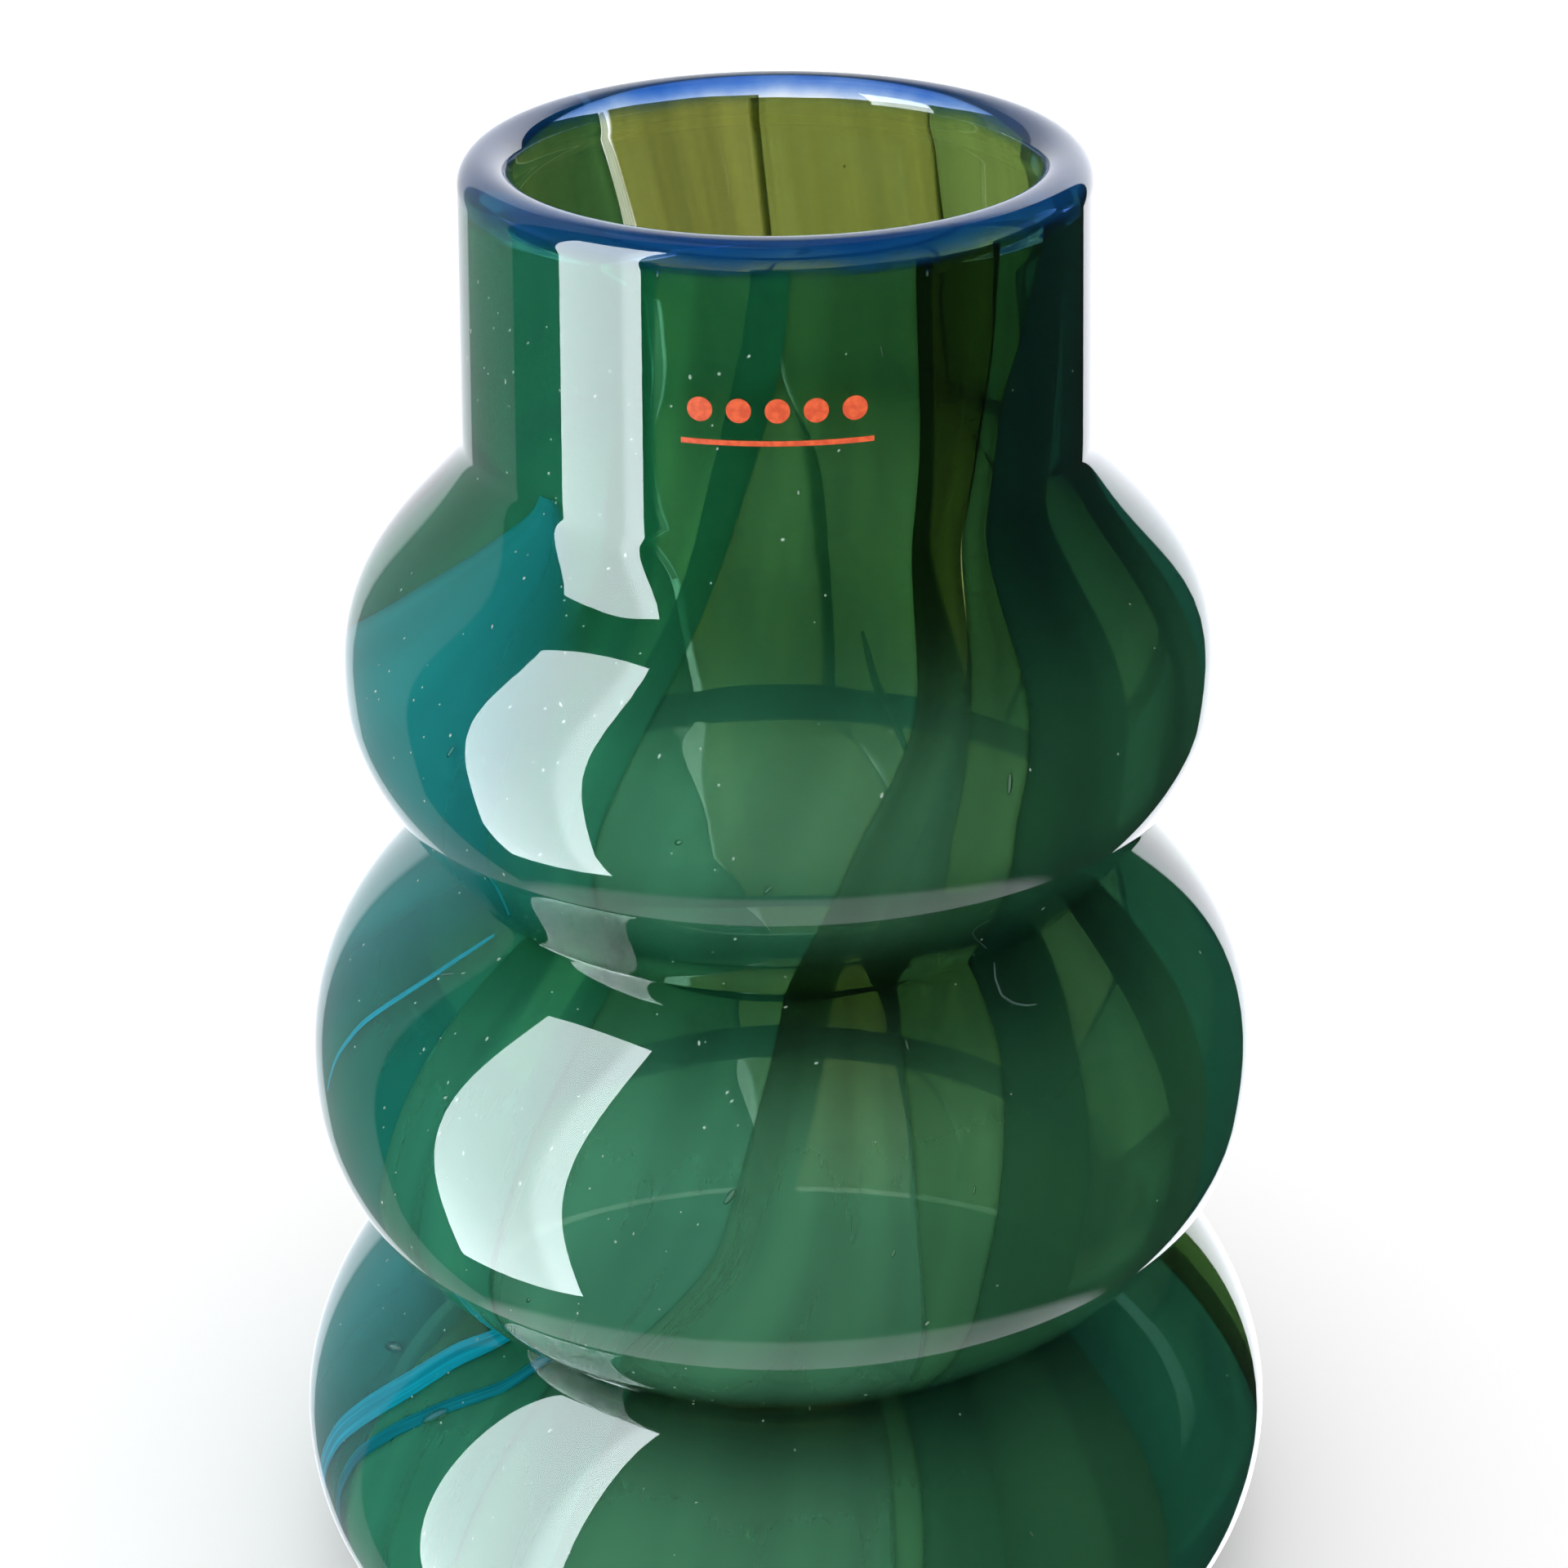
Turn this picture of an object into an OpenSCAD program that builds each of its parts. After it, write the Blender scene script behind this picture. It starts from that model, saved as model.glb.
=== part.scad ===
// Hand blown glass vase: three stacked bulbs under a straight neck.
// The wall is built as the glass is gathered: an inner gather, coloured veils laid round it,
// and a clear casing over them. Millimetres, +Z up, origin at the middle of the flat foot.
// Angles round the vase run anticlockwise from +X, seen from above; the front faces -Y.

/* [Body] */
// Height from the foot to the top of the lip
vase_h = 350; // [340:1:370]
// Outer radius of the neck under the lip
neck_r = 65.1; // [64:0.1:66]
// Outer radius where the neck meets the upper bulb
neck_foot_r = 67; // [66:0.1:68]
// Height at which it meets the upper bulb
neck_foot_z = 290.2; // [288:0.2:294]
// Thickness of the wall at the neck
neck_wall = 9.4; // [8:0.2:11]
// Radius of the round lip, which stands in from the neck's bore
lip_r = 5.8; // [5:0.1:6.5]
// Radius that blends the lip into the bore
lip_blend_r = 8; // [6:0.5:12]
// Thickness of the glass under the cavity
floor_t = 22; // [18:1:28]

/* [Upper bulb] */
// Largest outer radius of the upper bulb
upper_r = 95.2; // [93:0.1:98]
// Height of its widest ring
upper_z = 233.9; // [232:0.1:236]
// Radius of the waist under it
upper_waist_r = 75.5; // [74:0.1:77]
// Height of that waist
upper_waist_z = 194.5; // [193:0.1:196]

/* [Middle bulb] */
// Largest outer radius of the middle bulb
middle_r = 108.9; // [106:0.1:111]
// Height of its widest ring
middle_z = 137.2; // [136:0.1:139]
// Radius of the waist under it
lower_waist_r = 82.1; // [80:0.1:84]
// Height of that waist
lower_waist_z = 91.7; // [90:0.1:93]

/* [Lower bulb] */
// Largest outer radius of the lower bulb
lower_r = 117.7; // [115:0.1:120]
// Height of its widest ring
lower_z = 39.6; // [38:0.1:41]

/* [Foot] */
// Outer radius of the flat foot, before its bevel
foot_r = 96; // [92:0.5:100]
// Width of the bevel ground round the foot
foot_bevel = 1.5; // [1:0.1:2.5]
// Radius of the polished hollow where the pontil came off
punt_r = 36; // [30:1:45]
// Depth of that hollow
punt_depth = 2.5; // [1.5:0.1:4]

/* [Layers] */
// Part of the wall that is clear casing
casing_share = 0.4; // [0.35:0.01:0.45]
// Part of the wall that is coloured glass
colour_share = 0.2; // [0.15:0.01:0.25]
// How far the blue band reaches down from the middle of the round lip
lip_band_h = 2; // [1:0.5:6]

/* [Trails] */
// Height of the lower turquoise trail's lower edge
low_trail_z = 48; // [46:1:52]
// Height of the upper turquoise trail's lower edge
high_trail_z = 68; // [64:1:72]
// Width of each turquoise trail
trail_w = 8; // [5:0.5:10]
// Width in degrees of the pale thread in the back wall
thread_sweep = 2.4; // [1.6:0.1:4]

/* [Painted row] */
// Height of the row of painted dots on the neck
dots_z = 318; // [314:1:324]
// Radius of each dot
dot_r = 2.4; // [2:0.1:3]
// Thickness of the enamel
enamel_t = 0.25; // [0.2:0.05:0.4]

/* [Hidden] */
$fn = 96;
// Each veil's name, the angle at which it starts, and its colour; it ends where the next one starts.
VEILS = [
    ["teal_edge_veil", -14, "#2f7f7a"],
    ["back_forest_veil", 16, "#3c6b24"],
    ["back_olive_veil", 52, "#7c8f1e"],
    ["back_amber_veil", 92, "#9a9a2a"],
    ["back_sea_veil", 128, "#4d8f6a"],
    ["milky_turquoise_veil", 166, "#5fb6ab"],
    ["lagoon_veil", 204, "#3f9a84"],
    ["leaf_green_veil", 236, "#3f8a3a"],
    ["emerald_veil", 260, "#2c7a34"],
    ["moss_veil", 286, "#5c7420"],
    ["bottle_green_veil", 304, "#1f5a2c"],
    ["black_green_veil", 326, "#12331c"],
];
// The veils that the turquoise trails cross.
trail_first = 5;
trail_last = 6;
// The veil whose start the pale thread lies along.
thread_veil = 3;

// Shares of the wall's depth at which the colour starts and ends.
colour_depth = casing_share;
gather_depth = casing_share + colour_share;
wall_r = neck_wall / 2;
lip_z = vase_h - lip_r;
lip_mid = [neck_r - lip_r, lip_z];
band_mid = [neck_r - wall_r, lip_z];
band_half = neck_wall * colour_share / 2;
band_z = lip_z - lip_band_h;
heel_z = 14;
half_rings = 9;
floor_round = 2.6;
dots = 5;
dot_pitch = 7.4;
underline_drop = 7;
underline_t = 1;

// The profile's half rounds, from the foot up: the height and radius of the widest ring, those of
// the waist, neck or foot that it runs to, how full the round is, and how softly it lands there.
HALVES = [
    [lower_z, lower_r, 0, foot_r, 2.4, 1],
    [lower_z, lower_r, lower_waist_z, lower_waist_r, 1.75, 0.84],
    [middle_z, middle_r, lower_waist_z, lower_waist_r, 2.15, 1.07],
    [middle_z, middle_r, upper_waist_z, upper_waist_r, 2.4, 1.06],
    [upper_z, upper_r, upper_waist_z, upper_waist_r, 1.9, 1.2],
    [upper_z, upper_r, neck_foot_z, neck_foot_r, 2.75, 2.2],
];

// Outer radius of one half round at height z.
function half_round(h, z) =
    let (u = min(1, abs((z - h[0]) / (h[2] - h[0]))))
    h[3] + (h[1] - h[3]) * pow(1 - pow(u, h[4]), h[5]);

// Outer radius of the vase at height z.
function outer(z) = z >= neck_foot_z
    ? neck_foot_r + (neck_r - neck_foot_r) * (z - neck_foot_z) / (lip_z - neck_foot_z)
    : [for (h = HALVES) if (z >= min(h[0], h[2]) && z < max(h[0], h[2])) half_round(h, z)][0];

function slope(z) = (outer(z + 0.05) - outer(z - 0.05)) / 0.1;

// Wall thickness at height z: the glass thins where it is blown out wider.
function wall(z) = neck_wall * sqrt(neck_r / outer(z));

// The point at a share of the wall's depth under the outer surface at height z.
function depth_point(z, share) =
    let (s = slope(z), d = share * wall(z) / sqrt(1 + s * s))
    [outer(z) - d, z + d * s];

// Heights of the rings that the curved walls pass through, closer together towards each waist.
ring_z = concat([heel_z], [
    for (i = [0 : len(HALVES) - 1], k = [0 : half_rings - 1])
        let (h = HALVES[i], up = i % 2 == 1)
        let (z = h[0] + (h[2] - h[0]) * sin(90 * (up ? k : half_rings - k) / half_rings))
        if (z > heel_z + 2) z
], [neck_foot_z]);

// The point of a layer boundary at height z, on the straight between the rings on either side.
function boundary_point(z, share) = z >= neck_foot_z
    ? depth_point(z, share)
    : [for (axis = [0, 1]) lookup(z, [for (ring = ring_z) [ring, depth_point(ring, share)[axis]]])];

// A layer boundary between two heights, from the lower one up.
function boundary(share, low, high) = concat(
    [boundary_point(low, share)],
    [for (z = ring_z) if (z > low + 0.01 && z < high - 0.01) depth_point(z, share)],
    [boundary_point(high, share)]
);

function reversed(p) = [for (i = [len(p) - 1 : -1 : 0]) p[i]];

function arc(centre, r, from, to, steps) = [
    for (i = [0 : steps])
        let (a = from + (to - from) * i / steps)
        centre + r * [cos(a), sin(a)]
];

// Outer surface below the rings: the heel, the ground bevel and the flat foot.
heel = [for (z = [foot_bevel, heel_z / 2]) [outer(z), z]];
foot = [[outer(foot_bevel) - foot_bevel, 0], [punt_r, 0]];

// Polished hollow in the foot, from its rim to the middle.
punt_sphere_r = (punt_r * punt_r + punt_depth * punt_depth) / (2 * punt_depth);
punt_angle = asin(punt_r / punt_sphere_r);
punt = arc([0, punt_depth - punt_sphere_r], punt_sphere_r, 90 - punt_angle, 90, 6);

// The two faces of the colour under the cavity, from the wall to the middle.
under_outer = let (p = depth_point(heel_z, colour_depth)) [p, [p[0] - 9, 9.5], [0, 9.5]];
under_inner = let (p = depth_point(heel_z, gather_depth)) [p, [p[0] - 9, 11.5], [0, 11.5]];

// The cavity's floor, from the middle out to the widest part of the lower bulb.
cavity_r = outer(lower_z) - wall(lower_z);
cavity_floor = [
    for (i = [0 : 14])
        let (a = 90 * i / 14)
        [cavity_r * pow(sin(a), 2 / floor_round),
         lower_z - (lower_z - floor_t) * pow(cos(a), 2 / floor_round)]
];

// The inside of the lip, from its innermost ring down into the bore: part of the lip's own round,
// then a hollow round that meets the bore.
bore_r = depth_point(lip_z - 2 * lip_r, 1)[0];
blend_angle = acos((lip_mid[0] - bore_r + lip_blend_r) / (lip_r + lip_blend_r));
blend_mid = [bore_r - lip_blend_r, lip_z - (lip_r + lip_blend_r) * sin(blend_angle)];
lip_inside = concat(
    arc(lip_mid, lip_r, 180, 180 + blend_angle, 5),
    reversed(arc(blend_mid, lip_blend_r, 0, blend_angle - 8, 4))
);

// The bore and the walls of the cavity, from the widest part of the lower bulb up to the lip.
bore_top = blend_mid[1] - 1;
bore_line = [for (p = boundary(1, lower_z, bore_top)) if (p[1] > lower_z + 1) p];

// One turned piece from an outline of radii and heights.
module turned(outline, from = 0, sweep = 360) {
    rotate([0, 0, from]) rotate_extrude(angle = sweep) polygon(outline);
}

// A piece of the colour layer between two angles and two heights.
module colour_piece(from, to, low, high) {
    turned(
        concat(boundary(colour_depth, low, high), reversed(boundary(gather_depth, low, high))),
        from, to - from
    );
}

function veil_start(i) = VEILS[i % len(VEILS)][1] + (i >= len(VEILS) ? 360 : 0);

module veil(i) {
    crossed = i >= trail_first && i <= trail_last;
    from = veil_start(i) + (i == thread_veil ? thread_sweep : 0);
    color(VEILS[i][2])
        colour_piece(from, veil_start(i + 1), crossed ? high_trail_z + trail_w : heel_z, band_z);
}

module inner_gather() {
    color("#8fa860", 0.4)
        turned(concat(
            reversed(under_inner),
            [for (p = boundary(gather_depth, heel_z, lip_z)) if (p[1] > under_inner[0][1] + 0.1) p],
            lip_inside,
            reversed(bore_line),
            reversed(cavity_floor)
        ));
}

module clear_casing() {
    color("#dff0f2", 0.3)
        turned(concat(
            reversed(punt),
            [foot[0]],
            heel,
            boundary(0, heel_z, lip_z),
            arc(lip_mid, lip_r, 10, 180, 17),
            reversed(arc(band_mid, band_half, 0, 180, 6)),
            reversed([for (p = boundary(colour_depth, heel_z, lip_z)) if (p[1] < lip_z - 1) p]),
            [for (i = [1 : 2]) under_outer[i]]
        ));
}

module base_veil() {
    color("#2f6f3a") turned(concat(under_outer, reversed(under_inner)));
}

module lip_band() {
    color("#2338b8")
        turned(concat(
            arc(band_mid, band_half, 0, 180, 6),
            [depth_point(band_z, gather_depth), depth_point(band_z, colour_depth)]
        ));
}

module trail(low) {
    color("#3fc6cf")
        colour_piece(veil_start(trail_first), veil_start(trail_last + 1), low, low + trail_w);
}

module side_veil(low, high, tint) {
    color(tint) colour_piece(veil_start(trail_first), veil_start(trail_last + 1), low, high);
}

module low_trail() trail(low_trail_z);

module high_trail() trail(high_trail_z);

module low_side_veil() side_veil(heel_z, low_trail_z, "#3d8f6d");

module mid_side_veil() side_veil(low_trail_z + trail_w, high_trail_z, "#47a387");

module pale_thread() {
    start = veil_start(thread_veil);
    color("#e8eedc") colour_piece(start, start + thread_sweep, heel_z, band_z);
}

// A row of enamel dots over a fine line, on the front of the neck.
module painted_dots() {
    enamel = [
        for (corner = [[-12, 0], [-12, enamel_t], [8, enamel_t], [8, 0]])
            [outer(dots_z + corner[0]) + corner[1], dots_z + corner[0]]
    ];
    color("#e8622c")
        intersection() {
            turned(enamel);
            union() {
                for (i = [0 : dots - 1])
                    translate([(i - (dots - 1) / 2) * dot_pitch, 0, dots_z])
                        rotate([90, 0, 0]) cylinder(h = neck_r * 2, r = dot_r, $fn = 32);
                translate([-dots * dot_pitch / 2, -neck_r * 2, dots_z - underline_drop])
                    cube([dots * dot_pitch, neck_r * 2, underline_t]);
            }
        }
}

for (i = [0 : len(VEILS) - 1]) veil(i);
inner_gather();
clear_casing();
base_veil();
lip_band();
low_trail();
high_trail();
low_side_veil();
mid_side_veil();
pale_thread();
painted_dots();
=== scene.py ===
import math
import random

import bpy
import numpy as np
from mathutils import Matrix, Vector


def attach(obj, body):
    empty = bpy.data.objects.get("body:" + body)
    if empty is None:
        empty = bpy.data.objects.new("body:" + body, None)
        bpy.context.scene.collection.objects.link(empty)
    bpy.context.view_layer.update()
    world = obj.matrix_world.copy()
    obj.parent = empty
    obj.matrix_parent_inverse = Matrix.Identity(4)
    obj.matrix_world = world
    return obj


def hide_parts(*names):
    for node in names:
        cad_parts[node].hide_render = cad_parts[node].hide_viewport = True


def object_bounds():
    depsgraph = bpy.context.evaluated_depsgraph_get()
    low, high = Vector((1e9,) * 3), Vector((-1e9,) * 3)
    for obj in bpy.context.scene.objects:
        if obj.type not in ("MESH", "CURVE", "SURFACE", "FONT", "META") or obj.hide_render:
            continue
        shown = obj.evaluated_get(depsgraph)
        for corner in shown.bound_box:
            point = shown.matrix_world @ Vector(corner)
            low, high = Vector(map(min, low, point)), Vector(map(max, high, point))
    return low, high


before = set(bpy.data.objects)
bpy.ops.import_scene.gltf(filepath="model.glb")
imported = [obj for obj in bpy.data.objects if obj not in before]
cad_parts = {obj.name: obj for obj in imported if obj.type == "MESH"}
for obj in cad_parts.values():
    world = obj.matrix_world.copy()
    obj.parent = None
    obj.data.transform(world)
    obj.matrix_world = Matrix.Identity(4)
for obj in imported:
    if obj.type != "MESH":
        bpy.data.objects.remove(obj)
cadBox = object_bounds()
print("stage 1: frame loaded")

mm = 0.001

# The vase's turned profile: each half round runs from its widest ring to a waist, the neck or the foot.
vaseShape = {
    "height": cadBox[1].z / mm,
    "neckRadius": 65.1,
    "neckFootRadius": 67.0,
    "neckFootHeight": 290.2,
    "neckWall": 9.4,
    "lipRadius": 5.8,
    "lipBlend": 8.0,
    "floorThickness": 22.0,
    "floorRoundness": 2.6,
    "footBevel": 1.5,
    "puntRadius": 36.0,
    "puntDepth": 2.5,
    "footInset": 8.0,
    # widest height, widest radius, end height, end radius, fullness, softness of the landing
    "halves": [
        (39.6, 117.7, 0.0, 96.0, 2.4, 1.0),
        (39.6, 117.7, 91.7, 82.1, 1.75, 0.84),
        (137.2, 108.9, 91.7, 82.1, 2.15, 1.07),
        (137.2, 108.9, 194.5, 75.5, 2.4, 1.06),
        (233.9, 95.2, 194.5, 75.5, 1.9, 1.2),
        (233.9, 95.2, 290.2, 67.0, 2.75, 2.2),
    ],
    "ringsPerHalf": 22,
    "neckRings": 15,
    "waistTurns": 10,
    "turnSteps": 256,
    "lipSteps": 34,
    "blendSteps": 8,
    "puntSteps": 8,
    "footSteps": 6,
    "floorSteps": 31,
    "rimDip": 1.2,  # how much lower the lip stands at the back
    "rimDipFrom": 296.0,
}
lipHeight = vaseShape["height"] - vaseShape["lipRadius"]
lipMiddle = vaseShape["neckRadius"] - vaseShape["lipRadius"]


def outerRadius(z):
    s = vaseShape
    if z >= s["neckFootHeight"]:
        along = (z - s["neckFootHeight"]) / (lipHeight - s["neckFootHeight"])
        return s["neckFootRadius"] + (s["neckRadius"] - s["neckFootRadius"]) * along
    for mid, wide, end, narrow, full, soft in s["halves"]:
        if min(mid, end) <= z < max(mid, end):
            u = abs((z - mid) / (end - mid))
            return narrow + (wide - narrow) * (1 - u ** full) ** soft


def wallThickness(radius):
    return vaseShape["neckWall"] * math.sqrt(vaseShape["neckRadius"] / radius)


def wallLine():
    # Points up the outer wall from the bevel to the lip: radius, height, normal and thickness.
    s = vaseShape
    heights = [s["footBevel"]]
    for mid, wide, end, narrow, full, soft in s["halves"]:
        steps = range(s["ringsPerHalf"] + 1)
        rings = [mid + (end - mid) * math.sin(math.pi / 2 * k / s["ringsPerHalf"]) for k in steps]
        heights += [z for z in rings if z > s["footBevel"]]
    heights += list(np.linspace(s["neckFootHeight"], lipHeight, s["neckRings"]))
    heights = sorted(set(round(z, 4) for z in heights))
    waists = (s["halves"][1][2], s["halves"][3][2])
    line = []
    tiny = 0.02
    for z in heights:
        radius = outerRadius(z)
        if z in waists:  # a sharp waist turns its normal on the spot
            below = math.atan2(-(radius - outerRadius(z - tiny)) / tiny, 1)
            above = math.atan2(-(outerRadius(z + tiny) - radius) / tiny, 1)
            turns = s["waistTurns"]
            tilts = [below + (above - below) * k / turns for k in range(turns + 1)]
        elif z == heights[-1]:
            tilts = [math.atan2((outerRadius(z - tiny) - radius) / tiny, 1)]
        else:
            tilts = [math.atan2(-(outerRadius(z + tiny) - outerRadius(z - tiny)) / 2 / tiny, 1)]
        for tilt in tilts:
            line.append((radius, z, math.cos(tilt), math.sin(tilt), wallThickness(radius)))
    return np.array(line)


wall = wallLine()


def wallDepth(depth):
    # The wall's line moved inwards by a share of its thickness, as radii and heights.
    r = wall[:, 0] - wall[:, 2] * wall[:, 4] * depth
    z = wall[:, 1] - wall[:, 3] * wall[:, 4] * depth
    return np.stack([r, z], 1)


def wallShares():
    # How far up the wall each of its points lies, from 0 at the foot to 1 at the lip.
    steps = np.hypot(*np.diff(wallDepth(0.5), axis=0).T)
    travelled = np.concatenate([[0], np.cumsum(steps)])
    return travelled / travelled[-1], travelled[-1]


shares, wallLength = wallShares()


def shareAt(height):
    return np.interp(height, wall[:, 1], shares)


def wallPoint(share, angle, depth):
    # The place in metres at a share of the way up the wall, an angle round it and a depth into it.
    thick = np.interp(share, shares, wall[:, 4]) * depth
    r = np.interp(share, shares, wall[:, 0]) - np.interp(share, shares, wall[:, 2]) * thick
    z = np.interp(share, shares, wall[:, 1]) - np.interp(share, shares, wall[:, 3]) * thick
    return np.stack([r * np.cos(angle), r * np.sin(angle), z], -1) * mm


def dipRim(co):
    # The lip of a hand blown neck is not level: it falls a little towards the back.
    s = vaseShape
    up = np.clip((co[:, 2] / mm - s["rimDipFrom"]) / (s["height"] - s["rimDipFrom"]), 0, 1)
    radius = np.maximum(np.hypot(co[:, 0], co[:, 1]), 1 * mm)
    back = (1 + co[:, 1] / radius) / 2
    co[:, 2] -= s["rimDip"] * mm * back * up * up * (3 - 2 * up)
    return co


def readPoints(piece):
    flat = np.empty(len(piece.data.vertices) * 3)
    piece.data.vertices.foreach_get("co", flat)
    return flat.reshape(-1, 3)


def writePoints(piece, co):
    piece.data.vertices.foreach_set("co", co.ravel())
    piece.data.update()


def startClean():
    if bpy.context.object and bpy.context.object.mode != "OBJECT":
        bpy.ops.object.mode_set(mode="OBJECT")
    bpy.ops.object.select_all(action="DESELECT")


def nameNew(name):
    piece = bpy.context.object
    piece.name = name
    piece.data.name = name
    return piece


def drawOutline(name, points):
    # A plane is merged to one point, and the outline is extruded from it step by step.
    startClean()
    bpy.ops.mesh.primitive_plane_add(size=mm)
    piece = nameNew(name)
    bpy.ops.object.mode_set(mode="EDIT")
    bpy.ops.mesh.select_all(action="SELECT")
    bpy.ops.mesh.merge(type="CENTER")
    last = Vector((points[0][0], 0, points[0][1]))
    bpy.ops.transform.translate(value=last)
    for r, z in points[1:]:
        step = Vector((r, 0, z)) - last
        bpy.ops.mesh.extrude_region_move(TRANSFORM_OT_translate={"value": step})
        last = Vector((r, 0, z))
    return piece


def turnOutline(piece, steps):
    bpy.ops.mesh.select_all(action="SELECT")
    bpy.ops.mesh.spin(steps=steps, angle=2 * math.pi, center=(0, 0, 0), axis=(0, 0, 1))
    bpy.ops.mesh.select_all(action="SELECT")
    bpy.ops.mesh.remove_doubles(threshold=0.01 * mm)
    bpy.ops.mesh.normals_make_consistent(inside=False)
    bpy.ops.object.mode_set(mode="OBJECT")
    bpy.ops.object.shade_smooth()


def applyModifier(piece, kind, **settings):
    bpy.context.view_layer.objects.active = piece
    modifier = piece.modifiers.new(kind.lower(), kind)
    for key, value in settings.items():
        setattr(modifier, key, value)
    bpy.ops.object.modifier_apply(modifier=modifier.name)


def newMaterial(name):
    material = bpy.data.materials.new(name)
    material.use_nodes = True
    nodes = material.node_tree.nodes
    nodes.clear()
    output = nodes.new("ShaderNodeOutputMaterial")
    return nodes, material.node_tree.links, output


def mixColors(nodes, links, kind, factor, first, second):
    # A colour mix; each of the factor and the two colours is a socket or a plain value.
    mix = nodes.new("ShaderNodeMix")
    mix.data_type = "RGBA"
    mix.blend_type = kind
    for socket, value in ((mix.inputs[0], factor), (mix.inputs[6], first), (mix.inputs[7], second)):
        if isinstance(value, bpy.types.NodeSocket):
            links.new(value, socket)
        elif isinstance(value, tuple):
            socket.default_value = (*value, 1)
        else:
            socket.default_value = value
    return mix.outputs[2]


def rangeOf(nodes, links, value, low, high, toLow=0.0, toHigh=1.0):
    span = nodes.new("ShaderNodeMapRange")
    span.interpolation_type = "SMOOTHSTEP"
    span.inputs["From Min"].default_value = low
    span.inputs["From Max"].default_value = high
    span.inputs["To Min"].default_value = toLow
    span.inputs["To Max"].default_value = toHigh
    links.new(value, span.inputs["Value"])
    return span.outputs["Result"]


def mathOf(nodes, links, operation, first, second):
    # A maths node; each of its two values is a socket or a number.
    node = nodes.new("ShaderNodeMath")
    node.operation = operation
    for socket, value in zip(node.inputs, (first, second)):
        if isinstance(value, bpy.types.NodeSocket):
            links.new(value, socket)
        else:
            socket.default_value = value
    return node.outputs["Value"]


def noiseOf(nodes, links, scale, detail=2.0, distortion=0.0):
    # Noise that lies still in the object's own space.
    place = nodes.new("ShaderNodeTexCoord")
    noise = nodes.new("ShaderNodeTexNoise")
    noise.inputs["Scale"].default_value = scale
    noise.inputs["Detail"].default_value = detail
    noise.inputs["Distortion"].default_value = distortion
    links.new(place.outputs["Object"], noise.inputs["Vector"])
    return noise.outputs["Fac"]


def clearSheet(nodes, links, tint):
    clear = nodes.new("ShaderNodeBsdfTransparent")
    links.new(tint, clear.inputs["Color"])
    return clear.outputs["BSDF"]


def milkOf(nodes, links, color, through):
    # Milky glass: part of its light comes back, and the share in through passes on.
    front = nodes.new("ShaderNodeBsdfDiffuse")
    behind = nodes.new("ShaderNodeBsdfTranslucent")
    for shader in (front, behind):
        if isinstance(color, bpy.types.NodeSocket):
            links.new(color, shader.inputs["Color"])
        else:
            shader.inputs["Color"].default_value = (*color, 1)
    return blendOf(nodes, links, through, front.outputs["BSDF"], behind.outputs["BSDF"])


def blendOf(nodes, links, factor, first, second):
    # A blend of two shaders; the factor is a socket or a number.
    blend = nodes.new("ShaderNodeMixShader")
    if isinstance(factor, bpy.types.NodeSocket):
        links.new(factor, blend.inputs["Fac"])
    else:
        blend.inputs["Fac"].default_value = factor
    links.new(first, blend.inputs[1])
    links.new(second, blend.inputs[2])
    return blend.outputs["Shader"]


def useMaterial(piece, material):
    piece.data.materials.clear()
    piece.data.materials.append(material)


def finishPiece(piece, material, slot, *nodes):
    useMaterial(piece, material)
    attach(piece, "root")
    if nodes:
        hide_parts(*nodes)


cameraSetup = {
    "lens": 73.125,
    "pitch": math.radians(27.963),
    "roll": math.radians(-0.45),
    "rimDistance": 0.650,
    "rimRise": 0.1254,
    "sideways": 0.0007,
    "rimDrop": 5.17,
}


def placeCamera():
    c = cameraSetup
    up = Vector((0, math.sin(c["pitch"]), math.cos(c["pitch"])))
    ahead = Vector((0, math.cos(c["pitch"]), -math.sin(c["pitch"])))
    rim = Vector((c["sideways"], 0, (vaseShape["height"] - c["rimDrop"]) * mm))
    place = rim - up * c["rimRise"] - ahead * c["rimDistance"]
    bpy.ops.object.camera_add(location=place, rotation=(math.pi / 2 - c["pitch"], 0, 0))
    camera = bpy.context.object
    camera.name = "camera"
    camera.data.lens = c["lens"]
    camera.data.sensor_width = 36
    camera.data.clip_start = 0.01
    camera.rotation_euler.rotate_axis("Z", c["roll"])
    bpy.context.scene.camera = camera


placeCamera()
print("stage 2: camera placed")

bodyGlass = {
    "ior": 1.5,
    "absorbColor": (0.74, 0.93, 0.80, 1),
    "absorbDensity": 14.0,
    "innerRipple": 0.26 * mm,
    "outerRipple": 0.015 * mm,
    "rippleLean": 4,  # how far the waves lean, in radians for each metre
    # waves round the vase: count, phase, further lean, share of the ripple
    "waves": [(3, 0.4, 0, 0.5), (7, 1.9, 30, 0.3), (13, 0.7, 11, 0.12)],
    "lipFade": 0.03,  # the waves die out over these heights
    "footFade": 0.02,
    "axisRadius": 0.02,
    "shrink": 0.9994,  # keeps the rippled wall inside the turned one
    "cordScale": 14,
    "cordColor": (0.95, 0.98, 0.96),
}


def roundArc(middle, radius, start, end, steps):
    turns = np.linspace(math.radians(start), math.radians(end), steps + 1)
    return [(middle[0] + radius * math.cos(a), middle[1] + radius * math.sin(a)) for a in turns]


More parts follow.
